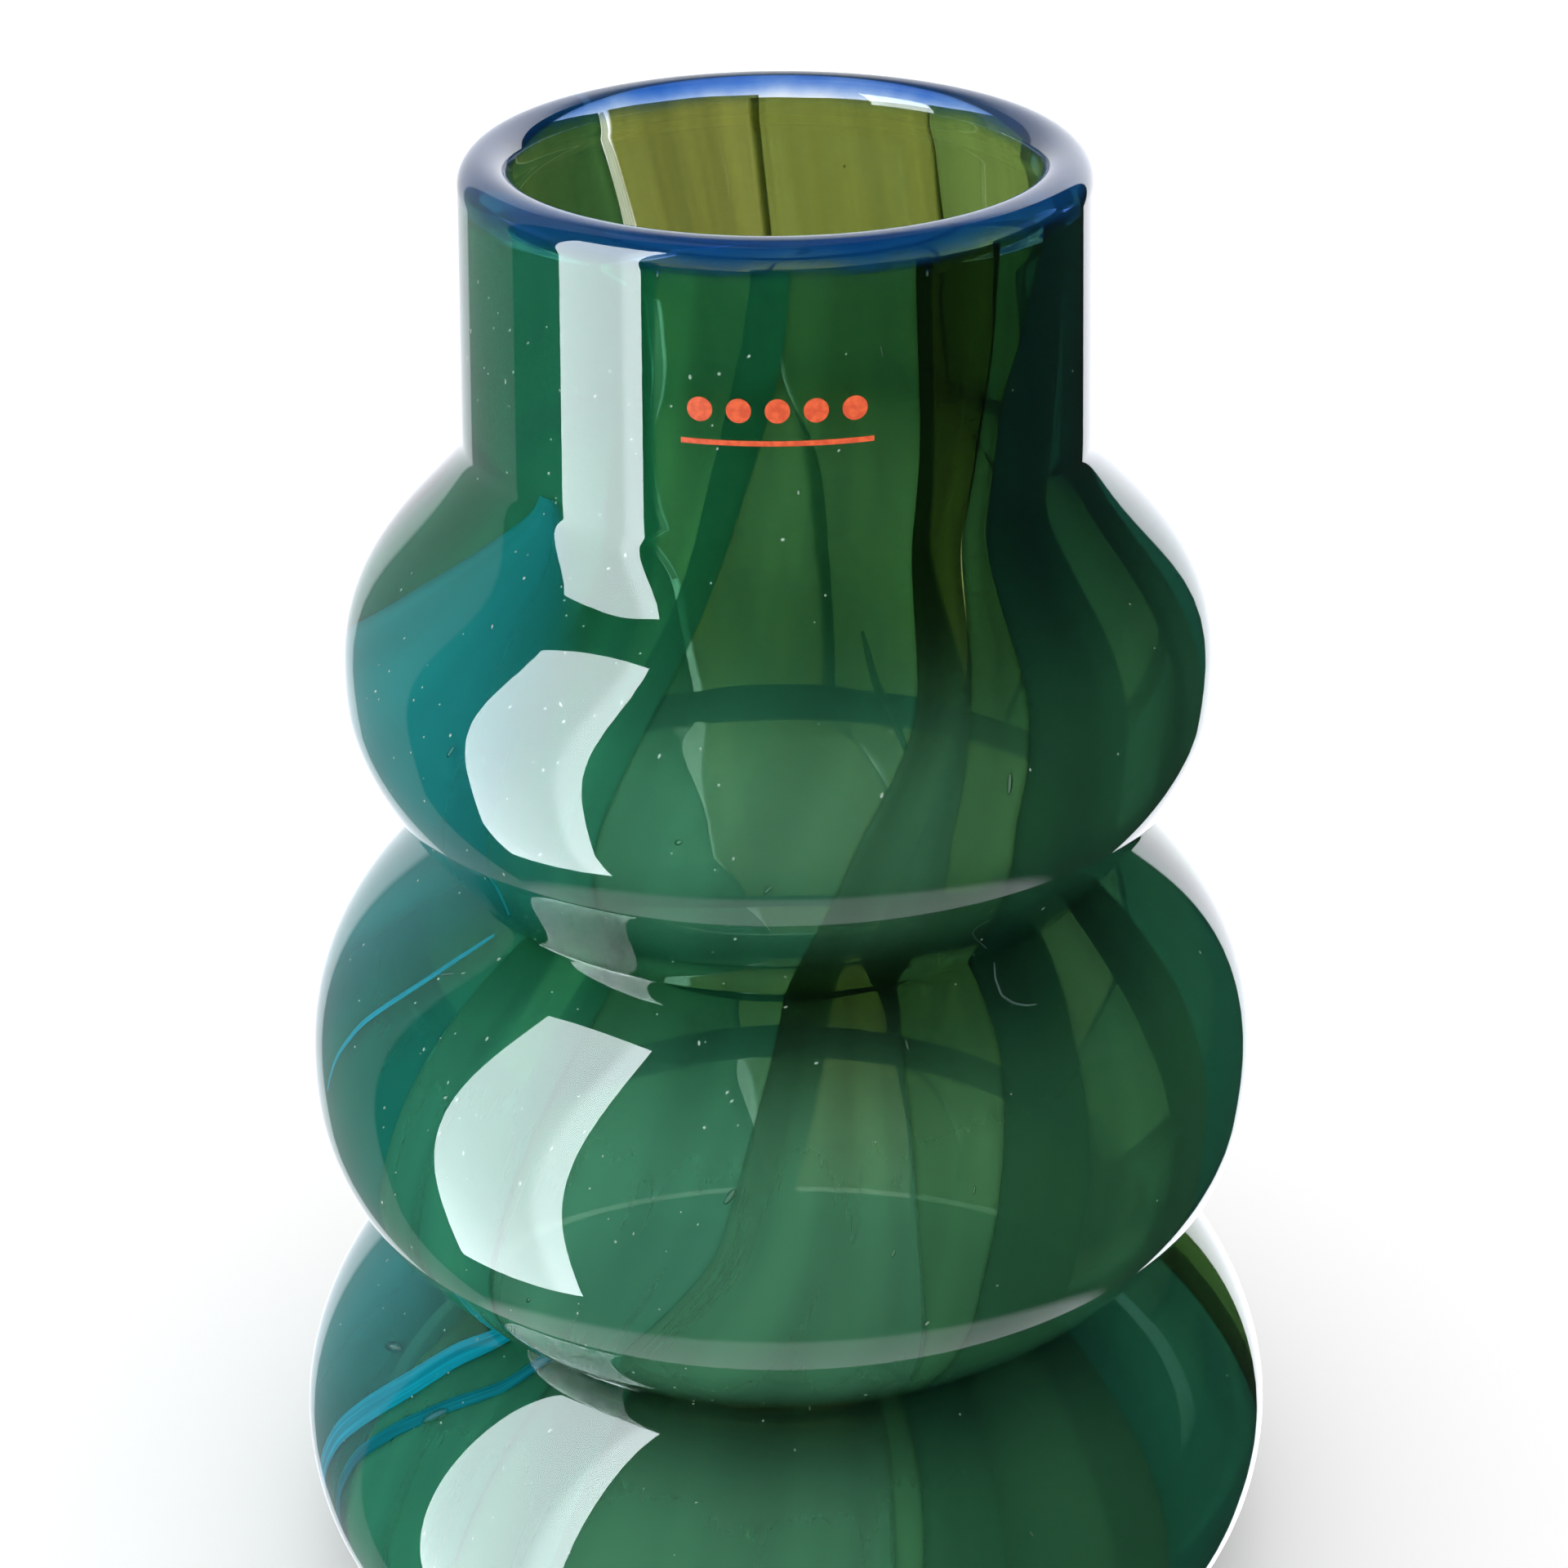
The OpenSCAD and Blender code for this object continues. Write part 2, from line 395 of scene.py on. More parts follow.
def bodyOutline():
    s = vaseShape
    outer, inner = wallDepth(0), wallDepth(1)
    sphere = (s["puntRadius"] ** 2 + s["puntDepth"] ** 2) / 2 / s["puntDepth"]
    spread = math.degrees(math.asin(s["puntRadius"] / sphere))
    punt = roundArc((0, s["puntDepth"] - sphere), sphere, 90, 90 - spread, s["puntSteps"])
    inset, bevel = s["puntRadius"] + s["footInset"], outer[0][0] - s["footBevel"]
    foot = [(r, 0) for r in np.linspace(inset, bevel, s["footSteps"])]
    # the lip's round stands in from the bore, and a hollow round leads down from it
    bore = float(np.interp(lipHeight - 2 * s["lipRadius"], inner[:, 1], inner[:, 0]))
    reach = s["lipRadius"] + s["lipBlend"]
    meet = math.degrees(math.acos((lipMiddle - bore + s["lipBlend"]) / reach))
    blendMiddle = (bore - s["lipBlend"], lipHeight - reach * math.sin(math.radians(meet)))
    lip = roundArc((lipMiddle, lipHeight), s["lipRadius"], 4, 180 + meet, s["lipSteps"])
    blend = roundArc(blendMiddle, s["lipBlend"], meet - 4, 0, s["blendSteps"])
    wide = s["halves"][0][0]
    cavity = [tuple(p) for p in inner[::-1] if wide + 1 < p[1] < blendMiddle[1] - 1]
    cavityRadius = float(np.interp(wide, inner[:, 1], inner[:, 0]))
    power = 2 / s["floorRoundness"]
    floor = []
    for a in np.linspace(math.pi / 2, 0, s["floorSteps"]):
        depth = (wide - s["floorThickness"]) * math.cos(a) ** power
        floor.append((cavityRadius * math.sin(a) ** power, wide - depth))
    outline = []
    for p in punt + foot + [tuple(p) for p in outer] + lip + blend + cavity + floor:
        if not outline or math.dist(p, outline[-1]) > 0.05:
            outline.append(p)
    return [(r * mm, z * mm) for r, z in outline]


def rippleWall(piece):
    # Blown glass is never quite round: slow waves that lean with the veils, stronger on the inside.
    g = bodyGlass
    co = readPoints(piece)
    radius = np.hypot(co[:, 0], co[:, 1])
    angle = np.arctan2(co[:, 1], co[:, 0])
    halfway = wallDepth(0.5)
    order = np.argsort(halfway[:, 1])
    middle = np.interp(co[:, 2] / mm, halfway[order, 1], halfway[order, 0]) * mm
    inside = (radius < middle) & (co[:, 2] > vaseShape["floorThickness"] * mm * 0.9)
    swirl = angle - co[:, 2] * g["rippleLean"]
    wave = sum(
        np.sin(swirl * count + phase + co[:, 2] * lean) * part
        for count, phase, lean, part in g["waves"]
    )
    fade = np.clip((lipHeight * mm - co[:, 2]) / g["lipFade"], 0, 1)
    fade = fade * np.clip(co[:, 2] / g["footFade"], 0, 1)
    amount = np.where(inside, g["innerRipple"], g["outerRipple"]) * wave * fade
    scale = g["shrink"] + amount / np.maximum(radius, g["axisRadius"])
    co[:, 0] *= scale
    co[:, 1] *= scale
    writePoints(piece, dipRim(co))


def cordedTint(nodes, links, scale, second):
    # Hand gathered glass is never one even tint: slow cords of a slightly different melt run through it.
    cords = rangeOf(nodes, links, noiseOf(nodes, links, scale, distortion=1.0), 0.3, 0.7)
    return mixColors(nodes, links, "MIX", cords, (1.0, 1.0, 1.0), second)


def casingGlass():
    nodes, links, output = newMaterial("clearCasingGlass")
    shader = nodes.new("ShaderNodeBsdfPrincipled")
    cords = cordedTint(nodes, links, bodyGlass["cordScale"], bodyGlass["cordColor"])
    links.new(cords, shader.inputs["Base Color"])
    shader.inputs["Roughness"].default_value = 0.0
    shader.inputs["IOR"].default_value = bodyGlass["ior"]
    shader.inputs["Transmission Weight"].default_value = 1.0
    absorb = nodes.new("ShaderNodeVolumeAbsorption")
    absorb.inputs["Color"].default_value = bodyGlass["absorbColor"]
    absorb.inputs["Density"].default_value = bodyGlass["absorbDensity"]
    links.new(shader.outputs["BSDF"], output.inputs["Surface"])
    links.new(absorb.outputs["Volume"], output.inputs["Volume"])
    return bpy.data.materials["clearCasingGlass"]


def makeBody():
    piece = drawOutline("glassBody", bodyOutline())
    turnOutline(piece, vaseShape["turnSteps"])
    rippleWall(piece)
    finishPiece(piece, casingGlass(), "clear_glass", "clear_casing", "inner_gather")


makeBody()
print("stage 3: glass body turned")

# Each veil: its two edges as height and angle, its tint and milk at the neck and in the bulbs where it
# is blown thinner, how milky it is at both, how deep it lies as a share of the wall, and the CAD nodes
# that it stands for. Some also say where they end (top) and how wide their right edge thins out (soft).
veils = {
    "lagoonVeil": dict(
        left=[(345, 186), (290, 178), (200, 160), (90, 150), (10, 146)],
        right=[(345, 250), (285, 248), (235, 246), (195, 232), (130, 226), (90, 222), (10, 214)],
        neckTint=(0.09, 0.42, 0.26), bulbTint=(0.12, 0.42, 0.30), neckMilk=(0.05, 0.36, 0.24),
        bulbMilk=(0.03, 0.42, 0.34), milky=(0.30, 0.42), depth=0.56,
        nodes=["lagoon_veil", "low_side_veil", "mid_side_veil"], slot="teal_glass"),
    "milkyTurquoiseVeil": dict(
        left=[(292, 224), (281, 214), (271, 207), (262, 201), (255, 195), (249, 189), (238, 176),
              (225, 164), (150, 150), (60, 144), (10, 140)],
        right=[(292, 227), (277, 238), (250, 247), (226, 250), (205, 244), (194, 224), (180, 214),
               (167, 207), (156, 203), (120, 201), (96, 208), (85, 217), (60, 213), (10, 207)],
        neckTint=(0.08, 0.42, 0.42), bulbTint=(0.10, 0.42, 0.42), neckMilk=(0.03, 0.46, 0.46),
        bulbMilk=(0.04, 0.48, 0.49), milky=(0.50, 0.58), depth=0.40, top=292, soft=0.5,
        nodes=["milky_turquoise_veil"], slot="milky_turquoise_glass"),
    "leafGreenVeil": dict(
        left=[(345, 244), (285, 238), (235, 232), (195, 224), (130, 214), (10, 206)],
        right=[(345, 273), (330, 271), (307, 266), (285, 260), (268, 255), (250, 251), (235, 248),
               (195, 243), (140, 236), (91, 232), (10, 226)],
        neckTint=(0.13, 0.40, 0.24), bulbTint=(0.20, 0.46, 0.30), neckMilk=(0.03, 0.34, 0.16),
        bulbMilk=(0.12, 0.62, 0.42), milky=(0.24, 0.34), depth=0.44,
        nodes=["leaf_green_veil"], slot="green_glass"),
    "emeraldVeil": dict(
        left=[(345, 266), (330, 264), (307, 259), (285, 253), (268, 249), (250, 246), (235, 243),
              (195, 238), (140, 231), (91, 227), (10, 221)],
        right=[(345, 300), (300, 299), (284, 298), (268, 297), (251, 292), (228, 286), (205, 281),
               (194, 279), (150, 269), (120, 258), (91, 252), (10, 244)],
        neckTint=(0.14, 0.34, 0.22), bulbTint=(0.34, 0.46, 0.36), neckMilk=(0.02, 0.27, 0.13),
        bulbMilk=(0.16, 0.58, 0.38), milky=(0.18, 0.38), depth=0.56,
        nodes=["emerald_veil"], slot="green_glass"),
    "mossVeil": dict(
        left=[(345, 296), (306, 295), (284, 293), (262, 288), (240, 280), (195, 271), (150, 262),
              (120, 251), (91, 245), (10, 237)],
        right=[(345, 313), (324, 312), (297, 307), (269, 299), (251, 293), (236, 290), (195, 290),
               (184, 287), (140, 286), (91, 285), (10, 281)],
        neckTint=(0.05, 0.10, 0.03), bulbTint=(0.36, 0.46, 0.32), neckMilk=(0.02, 0.08, 0.02),
        bulbMilk=(0.18, 0.56, 0.34), milky=(0.07, 0.38), depth=0.46,
        nodes=["moss_veil"], slot="olive_glass"),
    "bottleGreenVeil": dict(
        left=[(345, 312), (324, 311.5), (297, 306), (269, 298), (251, 291.5), (228, 285), (205, 281),
              (194, 286), (184, 285), (140, 283), (91, 282), (10, 278)],
        right=[(345, 334), (300, 330), (260, 322), (236, 318), (194, 319), (180, 314), (140, 306),
               (91, 300), (10, 294)],
        neckTint=(0.06, 0.18, 0.12), bulbTint=(0.16, 0.30, 0.18), neckMilk=(0.01, 0.10, 0.06),
        bulbMilk=(0.19, 0.60, 0.30), milky=(0.12, 0.34), depth=0.56,
        nodes=["bottle_green_veil"], slot="dark_green_glass"),
    "blackGreenVeil": dict(
        left=[(345, 326), (325, 318), (313, 312), (285, 309), (260, 305), (236, 300), (194, 301),
              (181, 300), (140, 293), (91, 288), (10, 282)],
        right=[(345, 352), (280, 346), (236, 341), (193, 339), (174, 334), (140, 328), (91, 322),
               (10, 316)],
        neckTint=(0.05, 0.14, 0.11), bulbTint=(0.16, 0.30, 0.20), neckMilk=(0.02, 0.16, 0.12),
        bulbMilk=(0.11, 0.42, 0.22), milky=(0.14, 0.28), depth=0.42,
        nodes=["black_green_veil"], slot="dark_green_glass"),
    "tealEdgeVeil": dict(
        left=[(345, 342), (280, 338), (236, 330), (193, 328), (140, 320), (91, 314), (10, 308)],
        right=[(345, 382), (280, 376), (200, 368), (91, 356), (10, 350)],
        neckTint=(0.06, 0.20, 0.16), bulbTint=(0.10, 0.26, 0.18), neckMilk=(0.04, 0.30, 0.24),
        bulbMilk=(0.05, 0.36, 0.24), milky=(0.20, 0.28), depth=0.56,
        nodes=["teal_edge_veil"], slot="teal_glass"),
    "backForestVeil": dict(
        left=[(345, 376), (200, 360), (91, 350), (10, 344)],
        right=[(345, 416), (200, 402), (91, 390), (10, 384)],
        neckTint=(0.17, 0.26, 0.06), bulbTint=(0.26, 0.42, 0.20), neckMilk=(0.10, 0.20, 0.05),
        bulbMilk=(0.06, 0.14, 0.05), milky=(0.20, 0.20), depth=0.45, soft=0.04,
        nodes=["back_forest_veil"], slot="green_glass"),
    "backOliveVeil": dict(
        left=[(345, 414), (200, 400), (91, 388), (10, 382)],
        right=[(345, 456), (200, 442), (91, 430), (10, 424)],
        neckTint=(0.23, 0.27, 0.05), bulbTint=(0.50, 0.54, 0.24), neckMilk=(0.12, 0.14, 0.03),
        bulbMilk=(0.14, 0.17, 0.06), milky=(0.22, 0.18), depth=0.56, soft=0.04,
        nodes=["back_olive_veil"], slot="olive_glass"),
    "backAmberVeil": dict(
        left=[(345, 454), (200, 440), (91, 428), (10, 422)],
        right=[(345, 489.6), (334, 486.4), (319, 482.4), (300, 479), (280, 476), (250, 472), (215, 467),
               (91, 458), (10, 452)],
        neckTint=(0.27, 0.29, 0.06), bulbTint=(0.52, 0.56, 0.26), neckMilk=(0.14, 0.15, 0.03),
        bulbMilk=(0.14, 0.17, 0.06), milky=(0.22, 0.18), depth=0.45,
        nodes=["back_amber_veil"], slot="olive_glass"),
    "backSeaVeil": dict(
        left=[(345, 492.2), (334, 488.8), (319, 484.6), (300, 481), (280, 478), (250, 474), (215, 469),
              (91, 458), (10, 452)],
        right=[(345, 550), (280, 542), (200, 526), (91, 516), (10, 510)],
        neckTint=(0.05, 0.14, 0.04), bulbTint=(0.24, 0.50, 0.32), neckMilk=(0.02, 0.08, 0.02),
        bulbMilk=(0.05, 0.20, 0.12), milky=(0.20, 0.24), depth=0.48,
        nodes=["back_sea_veil"], slot="teal_glass"),
}
veilShape = {
    "bottom": 12,
    "top": 345,
    "wander": math.radians(0.7),
    "ruffle": 0.012,
    "thickness": 0.30 * mm,
    "across": 14,
    "along": 170,
    "edgeSteps": 600,
    "smoothing": 0.022,
    "thinFrom": 0.062,  # the radii between which the colour is blown thin
    "thinTo": 0.106,
    "soft": 0.03,
    "through": 0.15,
}


def edgeLine(points, seed):
    # A veil's edge as an angle for each share of the way up: smoothed, with a little wander of its own.
    draw = random.Random(seed)
    phases = [draw.uniform(0, 6.28) for _ in range(2)]
    steps = np.linspace(0, 1, veilShape["edgeSteps"] + 1)
    heights = [p[0] for p in points[::-1]]
    angles = np.interp(steps, shareAt(heights), np.radians([p[1] for p in points[::-1]]))
    width = int(veilShape["smoothing"] * veilShape["edgeSteps"])
    kernel = np.hanning(2 * width + 3)
    padded = np.pad(angles, width + 1, mode="edge")
    angles = np.convolve(padded, kernel / kernel.sum(), mode="valid")
    wander = sum(np.sin(steps * k + p) / k for k, p in zip((17, 37), phases)) * 17
    angles = angles + wander * veilShape["wander"]
    return lambda share: np.interp(share, steps, angles)


def layVeil(name, veil, seed):
    # A flat grid is laid into the wall between the veil's two edges, and ruffles a little in depth.
    s = veilShape
    startClean()
    bpy.ops.mesh.primitive_grid_add(x_subdivisions=s["across"], y_subdivisions=s["along"], size=2)
    piece = nameNew(name)
    co = readPoints(piece)
    u = (co[:, 0] + 1) / 2
    v = (co[:, 1] + 1) / 2
    bottom, top = shareAt(s["bottom"]), shareAt(veil.get("top", s["top"]))
    share = bottom + (top - bottom) * v
    leftEdge, rightEdge = edgeLine(veil["left"], 100 + seed), edgeLine(veil["right"], 200 + seed)
    angle = leftEdge(share) * (1 - u) + rightEdge(share) * u
    waves = np.sin(angle * 9 + share * 13) + 0.6 * np.sin(angle * 23 + share * 31)
    writePoints(piece, dipRim(wallPoint(share, angle, veil["depth"] + s["ruffle"] * waves)))
    closeSheet(piece, s["thickness"])
    return piece


def closeSheet(piece, thickness):
    applyModifier(piece, "SOLIDIFY", thickness=thickness, offset=0, use_even_offset=False)
    bpy.ops.object.mode_set(mode="EDIT")
    bpy.ops.mesh.select_all(action="SELECT")
    bpy.ops.mesh.normals_make_consistent(inside=False)
    bpy.ops.object.mode_set(mode="OBJECT")
    bpy.ops.object.shade_smooth()


def blownOut(nodes, links):
    # 0 at the neck's radius, 1 where the bulbs are blown wide and the colour is thin.
    place = nodes.new("ShaderNodeTexCoord")
    flat = nodes.new("ShaderNodeVectorMath")
    flat.operation = "MULTIPLY"
    flat.inputs[1].default_value = (1, 1, 0)
    length = nodes.new("ShaderNodeVectorMath")
    length.operation = "LENGTH"
    links.new(place.outputs["Object"], flat.inputs[0])
    links.new(flat.outputs["Vector"], length.inputs[0])
    return rangeOf(nodes, links, length.outputs["Value"], veilShape["thinFrom"], veilShape["thinTo"])


def streakNoise(nodes, links, seed, scale, detail=4.0, distortion=0.7):
    place = nodes.new("ShaderNodeUVMap")
    stretch = nodes.new("ShaderNodeMapping")
    stretch.inputs["Location"].default_value = (seed * 1.7, seed * 0.9, seed)
    stretch.inputs["Scale"].default_value = (scale[0], scale[1], 1)
    noise = nodes.new("ShaderNodeTexNoise")
    noise.inputs["Scale"].default_value = 1.0
    noise.inputs["Detail"].default_value = detail
    noise.inputs["Distortion"].default_value = distortion
    links.new(place.outputs["UV"], stretch.inputs["Vector"])
    links.new(stretch.outputs["Vector"], noise.inputs["Vector"])
    return noise.outputs["Fac"], place.outputs["UV"]


def faceRoot(color):
    # Light crosses two faces of a closed sheet, so each face takes the square root of its tint.
    return tuple(math.sqrt(c) for c in color)


def veiledGlass(name, veil, seed):
    # Streaked transparent glass with milk in it, with painted shade along its laid edges.
    nodes, links, output = newMaterial(name)
    blown = blownOut(nodes, links)
    wide, uv = streakNoise(nodes, links, seed, (3.2, 1.8), 2.0, 0.3)
    fine = streakNoise(nodes, links, seed + 7, (22.0, 3.0), 4.0, 0.4)[0]
    split = nodes.new("ShaderNodeSeparateXYZ")
    links.new(uv, split.inputs["Vector"])
    tint = mixColors(nodes, links, "MIX", blown, faceRoot(veil["neckTint"]), faceRoot(veil["bulbTint"]))
    across = split.outputs["X"]
    shade = rangeOf(nodes, links, wide, 0.32, 0.68, 0.88, 1.10)
    for other in (
        rangeOf(nodes, links, fine, 0.30, 0.70, 0.97, 1.03),
        # painted shade: these two ranges darken the tint towards both laid edges, standing in for the
        # dark line that refraction draws along a sheet's edge
        rangeOf(nodes, links, across, 0.0, 0.04, 0.80, 1.0),
        rangeOf(nodes, links, across, 0.93, 1.0, 1.0, 0.94),
    ):
        shade = mathOf(nodes, links, "MULTIPLY", shade, other)
    grey = nodes.new("ShaderNodeCombineColor")
    for channel in ("Red", "Green", "Blue"):
        links.new(shade, grey.inputs[channel])
    tint = mixColors(nodes, links, "MULTIPLY", 1.0, tint, grey.outputs["Color"])
    # a soft veil thins out towards its right edge
    soft = rangeOf(nodes, links, across, 1.0, 1.0 - veil.get("soft", veilShape["soft"]))
    tint = mixColors(nodes, links, "MIX", soft, (1.0, 1.0, 1.0), tint)
    milk = mixColors(nodes, links, "MIX", blown, veil["neckMilk"], veil["bulbMilk"])
    haze = rangeOf(nodes, links, blown, 0.0, 1.0, *veil["milky"])
    cloud = mathOf(nodes, links, "MULTIPLY", haze, rangeOf(nodes, links, wide, 0.30, 0.72, 0.86, 1.10))
    haze = mathOf(nodes, links, "MULTIPLY", cloud, soft)
    clear = clearSheet(nodes, links, tint)
    body = milkOf(nodes, links, milk, veilShape["through"])
    links.new(blendOf(nodes, links, haze, clear, body), output.inputs["Surface"])
    return bpy.data.materials[name]


def makeVeils():
    for i, (name, veil) in enumerate(veils.items()):
        piece = layVeil(name, veil, i)
        finishPiece(piece, veiledGlass(name, veil, i + 1), veil["slot"], *veil["nodes"])


makeVeils()
print("stage 4: veils laid in the wall")

lipBand = {
    "radius": 3.5,
    "from": -12,
    "to": 192,
    "thickness": 0.5 * mm,
    "tint": (0.02, 0.16, 0.80),
    "milk": (0.01, 0.17, 0.46),
    "milky": 0.24,
    "fadeLow": 342.0,
    "fadeHigh": 348.5,
    "wander": 2 * mm,
    "turnSteps": 128,
}


def cobaltGlass():
    # Cobalt that fades out down the lip.
    nodes, links, output = newMaterial("cobaltGlass")
    place = nodes.new("ShaderNodeTexCoord")
    split = nodes.new("ShaderNodeSeparateXYZ")
    links.new(place.outputs["Object"], split.inputs["Vector"])
    # the noise lifts the height by up to 4 mm, so the fade's edge wanders
    lift = mathOf(nodes, links, "MULTIPLY", noiseOf(nodes, links, 60, 3), 2 * lipBand["wander"])
    height = mathOf(nodes, links, "ADD", lift, split.outputs["Z"])
    low, high = (lipBand[key] * mm + lipBand["wander"] for key in ("fadeLow", "fadeHigh"))
    full = rangeOf(nodes, links, height, low, high)
    tint = mixColors(nodes, links, "MIX", full, (1.0, 1.0, 1.0), faceRoot(lipBand["tint"]))
    milk = nodes.new("ShaderNodeBsdfDiffuse")
    milk.inputs["Color"].default_value = (*lipBand["milk"], 1)
    haze = rangeOf(nodes, links, full, 0.0, 1.0, 0.0, lipBand["milky"])
    band = blendOf(nodes, links, haze, clearSheet(nodes, links, tint), milk.outputs["BSDF"])
    links.new(band, output.inputs["Surface"])
    return bpy.data.materials["cobaltGlass"]


def makeLipBand():
    b = lipBand
    outline = roundArc((lipMiddle, lipHeight), b["radius"], b["from"], b["to"], 16)
    piece = drawOutline("lipBand", [(r * mm, z * mm) for r, z in outline])
    turnOutline(piece, b["turnSteps"])
    closeSheet(piece, b["thickness"])
    writePoints(piece, dipRim(readPoints(piece)))
    finishPiece(piece, cobaltGlass(), "cobalt_glass", "lip_band")


makeLipBand()
print("stage 5: lip band")

# Drawn threads of glass: their path up the wall as height and angle, width, depth and colour.
threadThickness = 0.3 * mm
threads = {
    "highTrail": dict(
        path=[(93, 224), (90, 219), (85, 215), (76, 211), (66, 206.5), (55, 202.5), (41, 200), (26, 199)],
        width=6.4, taper=0.35, depth=0.22, tint=(0.03, 0.60, 0.82), milk=(0.02, 0.80, 0.98), milky=0.85,
        slot="turquoise_glass", nodes=["high_trail"]),
    "lowTrail": dict(
        path=[(92, 232), (86, 226), (78, 219), (68, 213), (56, 208), (44, 206), (26, 206)],
        width=3.2, taper=0.5, depth=0.30, tint=(0.04, 0.45, 0.58), milk=(0.02, 0.62, 0.74), milky=0.6,
        slot="turquoise_glass", nodes=["low_trail"]),
    "blueHairline": dict(
        path=[(192.5, 217.5), (188, 215), (180, 211), (167, 204.6), (156, 201.5), (146, 200)],
        width=1.3, taper=0.4, depth=0.16, tint=(0.03, 0.60, 0.85), milk=(0.02, 0.80, 0.98), milky=0.8,
        slot="turquoise_glass", nodes=[]),
    "paleThread": dict(
        path=[(345, 131), (334, 127.6), (319, 123.5), (300, 120), (280, 117), (250, 113), (215, 108)],
        width=2.9, taper=0.4, depth=0.50, tint=(0.86, 0.90, 0.70), milk=(0.85, 0.90, 0.66), milky=0.5,
        slot="pale_glass", nodes=["pale_thread"]),
    "paleCurl": dict(
        path=[(193.5, 305.6), (191.5, 304.4), (189, 304), (187.4, 305.2), (186.4, 307), (186, 308.6)],
        width=0.45, taper=0.2, depth=0.12, tint=(0.6, 0.8, 0.75), milk=(0.5, 0.7, 0.66), milky=0.6,
        slot="pale_glass", nodes=[]),
    "oliveSliver": dict(
        path=[(276, 283), (268, 283.6), (261, 285.5), (254, 286.5)],
        width=1.8, taper=0.2, depth=0.62, tint=(0.5, 0.5, 0.2), milk=(0.42, 0.42, 0.16), milky=0.5,
        slot="olive_glass", nodes=[]),
}


def layThread(name, t, steps=70, across=4):
    # A narrow grid follows the path and narrows towards both ends.
    startClean()
    bpy.ops.mesh.primitive_grid_add(x_subdivisions=across, y_subdivisions=steps, size=2)
    piece = nameNew(name)
    co = readPoints(piece)
    along = np.linspace(0, 1, 201)
    knots = np.linspace(0, 1, len(t["path"]))
    share = np.interp(along, knots, shareAt([p[0] for p in t["path"]]))
    angle = np.interp(along, knots, np.radians([p[1] for p in t["path"]]))
    kernel = np.hanning(31) / np.hanning(31).sum()
    share, angle = (
        np.convolve(np.pad(line, 15, mode="reflect", reflect_type="odd"), kernel, mode="valid")
        for line in (share, angle)
    )
    radius = np.interp(share, shares, wall[:, 0])
    up, east = np.gradient(share) * wallLength, np.gradient(angle) * radius
    size = np.maximum(np.hypot(up, east), 1e-9)
    v = (co[:, 1] + 1) / 2
    swell = np.sin(math.pi * np.clip(v, 0.02, 0.98)) ** 0.5
    half = t["width"] / 2 * (t["taper"] + (1 - t["taper"]) * swell)
    offset = co[:, 0] * half
    nx = np.interp(v, along, -up / size) * offset
    ny = np.interp(v, along, east / size) * offset
    place = wallPoint(
        np.interp(v, along, share) + ny / wallLength,
        np.interp(v, along, angle) + nx / np.interp(v, along, radius), t["depth"])
    writePoints(piece, dipRim(place))
    closeSheet(piece, threadThickness)
    return piece


def threadGlass(name, look, seed):
    # Streaked along its length, with more milk where the streak is strong.
    nodes, links, output = newMaterial(name)
    streak = streakNoise(nodes, links, seed, (5.0, 2.0))[0]
    full = faceRoot(look["tint"])
    pale = tuple(c * 0.85 for c in full)
    tint = mixColors(nodes, links, "MIX", rangeOf(nodes, links, streak, 0.3, 0.7), pale, full)
    clear = clearSheet(nodes, links, tint)
    haze = rangeOf(nodes, links, streak, 0.25, 0.75, look["milky"] * 0.5, look["milky"])
    body = milkOf(nodes, links, look["milk"], 0.5)
    links.new(blendOf(nodes, links, haze, clear, body), output.inputs["Surface"])
    return bpy.data.materials[name]


def makeThreads():
    for i, (name, t) in enumerate(threads.items()):
        finishPiece(layThread(name, t), threadGlass(name, t, 50 + i), t["slot"], *t["nodes"])


makeThreads()

# The colour under the cavity: its line from the middle out, as radii and heights in metres.
baseColour = {
    "line": [(0, 0.0105), (0.06, 0.0105), (0.085, 0.011), (0.096, 0.0135), (0.1, 0.018)],
    "turnSteps": 96,
    "thickness": 0.5 * mm,
    "tint": (0.14, 0.40, 0.24),
    "milk": (0.04, 0.20, 0.10),
    "milky": 0.25,
}


def makeBaseColour():
    piece = drawOutline("baseColour", baseColour["line"])
    turnOutline(piece, baseColour["turnSteps"])
    closeSheet(piece, baseColour["thickness"])
    finishPiece(piece, threadGlass("baseColour", baseColour, 70), "green_glass", "base_veil")


makeBaseColour()
print("stage 6: trails, threads and base")

